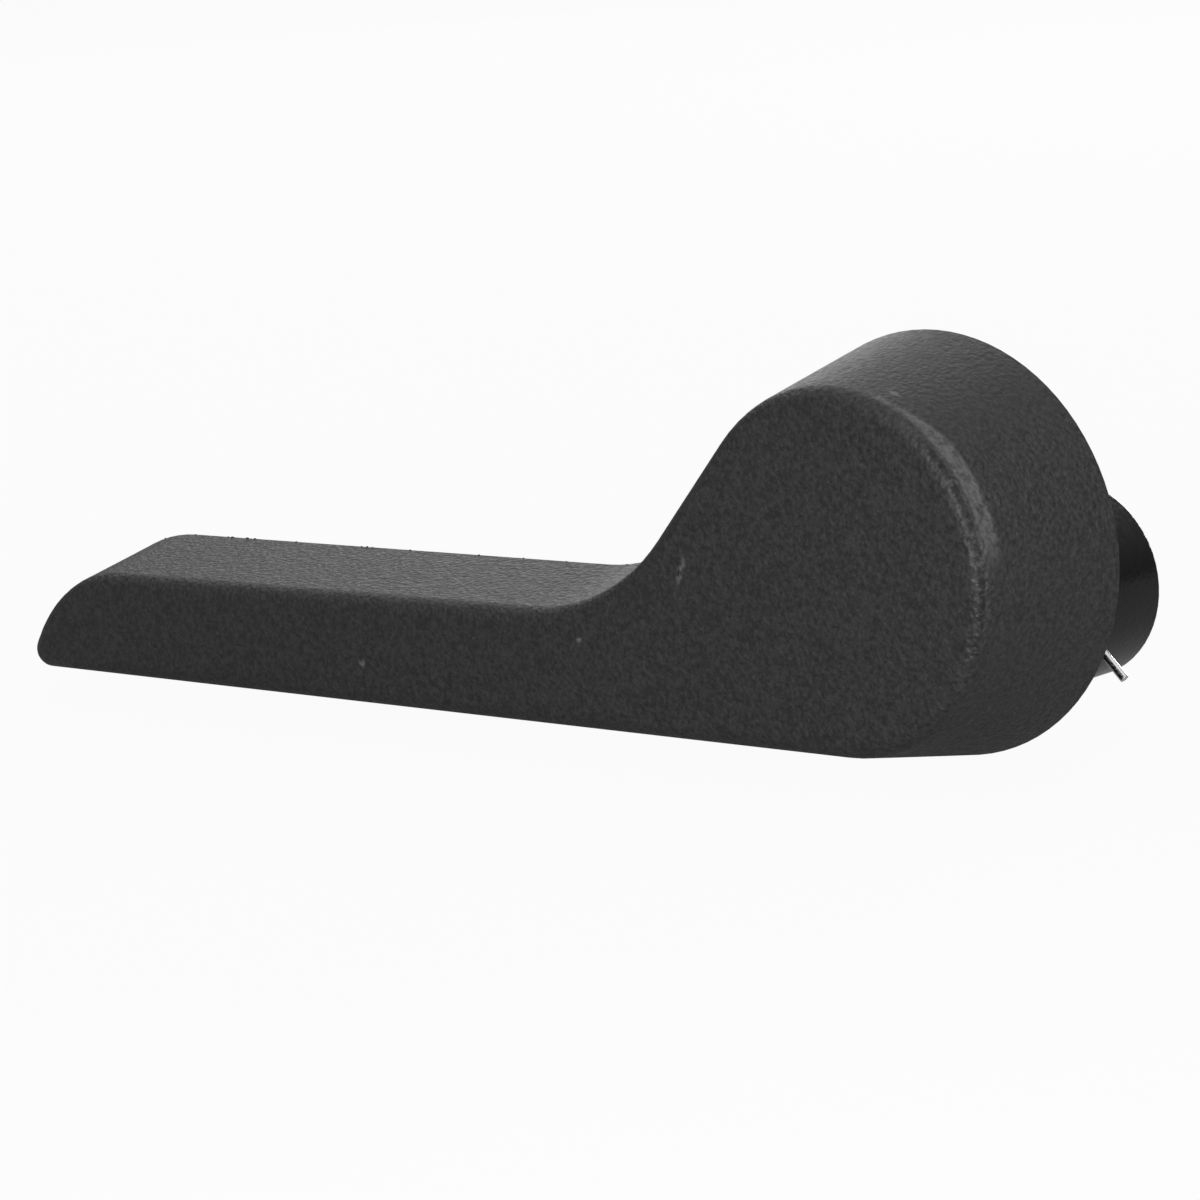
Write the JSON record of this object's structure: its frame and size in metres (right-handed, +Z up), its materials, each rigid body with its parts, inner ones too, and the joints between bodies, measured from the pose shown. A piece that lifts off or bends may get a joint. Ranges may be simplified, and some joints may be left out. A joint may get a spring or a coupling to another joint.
{
  "type": "seat recliner lever",
  "caption": "Moulded hand lever with a long slanted paddle, a round drum head and an off-centre tubular boss, locked on its shaft by a wire clip.",
  "frame": {"origin": "centre of the shaft socket's mouth, on the boss's end face", "axes": "+Y out of the socket's mouth towards the seat, -X along the paddle to its tip, +Z up, with the paddle's lower edge level"},
  "size_m": [0.1812, 0.0484, 0.0553],
  "materials": {
    "black_plastic": "fine grained, satin",
    "spring_wire": "bright drawn wire"
  },
  "bodies": {
    "handle": {"lever_handle": "black_plastic"},
    "clip": {"retaining_clip": "spring_wire"}
  },
  "joints": [
    {"name": "clip_release", "type": "slide", "parent": "handle", "child": "clip", "axis": [-0.7071, 0, 0.7071], "range_m": [0, 0.023]}
  ]
}
